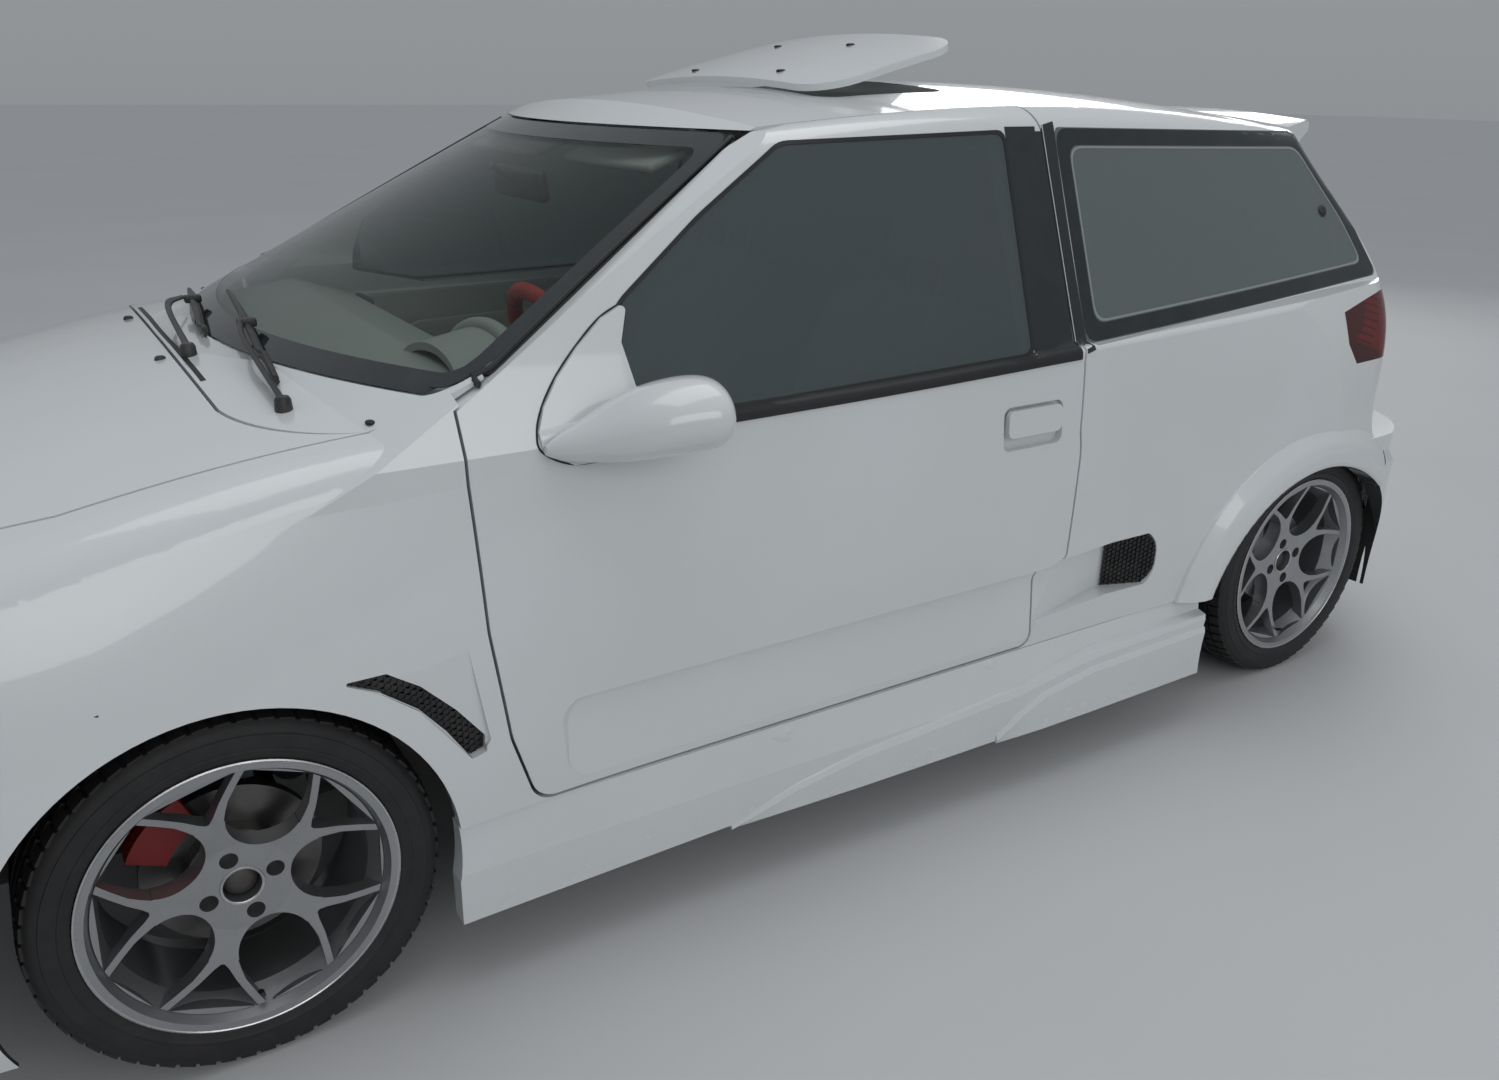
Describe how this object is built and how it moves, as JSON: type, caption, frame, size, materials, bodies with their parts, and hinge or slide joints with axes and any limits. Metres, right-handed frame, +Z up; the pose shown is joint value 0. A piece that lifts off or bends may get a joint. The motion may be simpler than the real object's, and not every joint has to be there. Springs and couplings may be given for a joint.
{
  "type": "three-door hatchback car with wide body kit",
  "caption": "Lowered three-door hatchback with a wide body kit, opening doors, bonnet, tailgate and raised sunroof panel, steered front wheels and free-turning forked-spoke wheels.",
  "frame": {"origin": "on the ground, at the bottom centre of the car's box", "axes": "+X forwards, +Y to the car's left, +Z up"},
  "size_m": [3.7598, 1.8682, 1.4853],
  "materials": {
    "white_paint": "gloss white lacquer",
    "white_kit": "gloss white lacquer on moulded plastic",
    "underbody": "matt underseal",
    "tinted_glass": "dark tint",
    "lamp_clear": "clear lens over bright reflector",
    "lamp_smoked": "smoked lens",
    "black_plastic": "grained",
    "grey_plastic": "soft grained",
    "dark_steel": "satin black",
    "cast_metal": "as cast",
    "bright_steel": "turned",
    "seat_fabric": "woven",
    "red_leather": "smooth",
    "wheel_alloy": "satin gunmetal lacquer",
    "tyre_rubber": "worn"
  },
  "bodies": {
    "body": {"floor_and_bulkhead": "underbody", "body_sides": "white_paint", "roof_panel": "white_paint", "front_wings": "white_paint", "front_bumper": "white_kit", "rear_bumper": "white_kit", "side_skirts": "white_kit", "scuttle_panel": "white_paint", "windscreen": "tinted_glass", "quarter_windows": "tinted_glass", "headlamps": "lamp_clear", "tail_lamps": "lamp_smoked", "front_wheel_housings": "black_plastic", "rear_wheel_housings": "black_plastic", "front_subframe": "dark_steel", "rear_axle": "dark_steel", "engine": "cast_metal", "fuel_tank": "black_plastic", "exhaust": "bright_steel", "dashboard": "grey_plastic", "front_seats": "seat_fabric", "rear_seat": "seat_fabric", "side_vents": "black_plastic"},
    "bonnet": {"bonnet": "white_paint"},
    "tailgate": {"tailgate": "white_paint", "rear_window": "tinted_glass", "roof_spoiler": "white_kit"},
    "sunroof": {"sunroof_panel": "white_kit"},
    "steering_wheel": {"steering_wheel": "red_leather"},
    "left_door": {"door_left": "white_paint", "door_glass_left": "tinted_glass", "door_mirror_left": "white_kit", "door_handle_left": "white_kit"},
    "left_knuckle": {"knuckle_front_left": "cast_metal"},
    "left_front_wheel": {"rim_front_left": "wheel_alloy", "tyre_front_left": "tyre_rubber", "brake_disc_front_left": "bright_steel"},
    "left_rear_wheel": {"rim_rear_left": "wheel_alloy", "tyre_rear_left": "tyre_rubber"},
    "right_door": {"door_right": "white_paint", "door_glass_right": "tinted_glass", "door_mirror_right": "white_kit", "door_handle_right": "white_kit"},
    "right_knuckle": {"knuckle_front_right": "cast_metal"},
    "right_front_wheel": {"rim_front_right": "wheel_alloy", "tyre_front_right": "tyre_rubber", "brake_disc_front_right": "bright_steel"},
    "right_rear_wheel": {"rim_rear_right": "wheel_alloy", "tyre_rear_right": "tyre_rubber"}
  },
  "joints": [
    {"name": "bonnet_hinge", "type": "hinge", "parent": "body", "child": "bonnet", "pos_m": [0.9, 0, 0.925], "axis": [0, -1, 0], "range_deg": [0, 60]},
    {"name": "tailgate_hinge", "type": "hinge", "parent": "body", "child": "tailgate", "pos_m": [-1.3, 0, 1.336], "axis": [0, 1, 0], "range_deg": [0, 75]},
    {"name": "sunroof_hinge", "type": "hinge", "parent": "body", "child": "sunroof", "pos_m": [-0.075, 0, 1.388], "axis": [0, 1, 0], "range_deg": [-12, 0]},
    {"name": "left_door_hinge", "type": "hinge", "parent": "body", "child": "left_door", "pos_m": [0.762, 0.8, 0.6], "axis": [0, 0, -1], "range_deg": [0, 65]},
    {"name": "right_door_hinge", "type": "hinge", "parent": "body", "child": "right_door", "pos_m": [0.762, -0.8, 0.6], "axis": [0, 0, 1], "range_deg": [0, 65]},
    {"name": "left_steer", "type": "hinge", "parent": "body", "child": "left_knuckle", "pos_m": [1.165, 0.63, 0.18], "axis": [0, -0.1564, 0.9877], "range_deg": [-30, 30]},
    {"name": "right_steer", "type": "hinge", "parent": "body", "child": "right_knuckle", "pos_m": [1.165, -0.63, 0.18], "axis": [0, 0.1564, 0.9877], "range_deg": [-30, 30]},
    {"name": "steering_wheel_turn", "type": "hinge", "parent": "body", "child": "steering_wheel", "pos_m": [0.452, 0.375, 0.88], "axis": [-0.9063, 0, 0.4226], "range_deg": [-450, 450]},
    {"name": "left_front_wheel_spin", "type": "hinge", "parent": "left_knuckle", "child": "left_front_wheel", "pos_m": [1.165, 0.675, 0.285], "axis": [0, 1, 0], "continuous": true},
    {"name": "left_rear_wheel_spin", "type": "hinge", "parent": "body", "child": "left_rear_wheel", "pos_m": [-1.285, 0.675, 0.285], "axis": [0, 1, 0], "continuous": true},
    {"name": "right_front_wheel_spin", "type": "hinge", "parent": "right_knuckle", "child": "right_front_wheel", "pos_m": [1.165, -0.675, 0.285], "axis": [0, 1, 0], "continuous": true},
    {"name": "right_rear_wheel_spin", "type": "hinge", "parent": "body", "child": "right_rear_wheel", "pos_m": [-1.285, -0.675, 0.285], "axis": [0, 1, 0], "continuous": true}
  ],
  "couplings": [
    {"joint": "right_steer", "follows": "left_steer", "ratio": 1},
    {"joint": "steering_wheel_turn", "follows": "left_steer", "ratio": 15}
  ]
}
